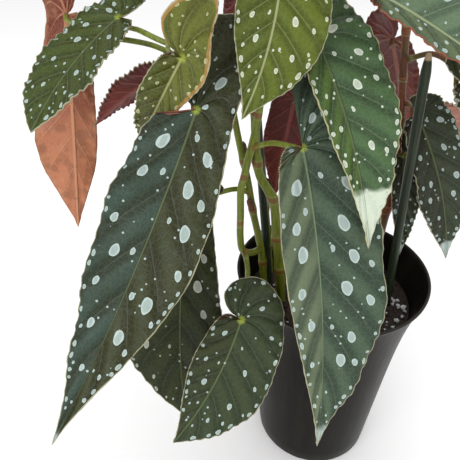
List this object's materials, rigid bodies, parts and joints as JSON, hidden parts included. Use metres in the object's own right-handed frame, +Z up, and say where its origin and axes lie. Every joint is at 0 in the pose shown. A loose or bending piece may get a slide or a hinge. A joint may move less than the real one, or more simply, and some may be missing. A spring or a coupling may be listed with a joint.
{
  "type": "potted begonia",
  "caption": "Potted begonia: jointed canes with long silver-spotted angel-wing leaves, held by thin stakes in a tall round tapered nursery pot of black plastic.",
  "frame": {"origin": "centre of the pot's underside, on the plane that it stands on", "axes": "+Z up along the pot's axis; -Y is the side the picture was taken from; +X is the picture's right"},
  "size_m": [0.3296, 0.288, 0.504],
  "materials": {
    "black_plastic": "satin",
    "potting_soil": "matte",
    "green_stake": "satin",
    "green_cane": "satin",
    "dark_green_leaf": "satin",
    "blue_green_leaf": "satin",
    "grey_green_leaf": "satin",
    "mid_green_leaf": "satin",
    "olive_leaf": "satin",
    "brown_green_leaf": "satin",
    "maroon_leaf": "satin",
    "salmon_leaf": "satin"
  },
  "bodies": {
    "root": {"pot": "black_plastic", "soil": "potting_soil", "stake_left": "green_stake", "stake_right": "green_stake", "cane_left_front": "green_cane", "cane_left_back": "green_cane", "cane_left_side": "green_cane", "cane_right": "green_cane", "cane_middle": "green_cane", "leaf_front_left": "blue_green_leaf", "leaf_front_centre": "grey_green_leaf", "leaf_lower_left": "dark_green_leaf", "leaf_heart": "blue_green_leaf", "leaf_upper_centre": "mid_green_leaf", "leaf_top_centre": "olive_leaf", "leaf_top_right": "grey_green_leaf", "leaf_right": "brown_green_leaf", "leaf_behind_stake": "brown_green_leaf", "leaf_edge_right": "dark_green_leaf", "leaf_red_right": "salmon_leaf", "leaf_far_left": "dark_green_leaf", "leaf_red_left": "salmon_leaf", "leaf_red_top": "maroon_leaf", "leaf_curled": "olive_leaf", "leaf_dark_left": "maroon_leaf", "leaf_red_behind": "maroon_leaf", "leaf_crown_front": "dark_green_leaf", "leaf_crown_left": "dark_green_leaf", "leaf_crown_right": "dark_green_leaf", "leaf_crown_far_left": "dark_green_leaf", "leaf_crown_back": "dark_green_leaf", "leaf_crown_back_left": "dark_green_leaf", "leaf_crown_back_right": "dark_green_leaf", "leaf_back_centre": "dark_green_leaf", "leaf_back_right": "dark_green_leaf", "leaf_back_left": "dark_green_leaf", "leaf_young_left": "dark_green_leaf", "leaf_young_right": "dark_green_leaf"}
  },
  "joints": []
}
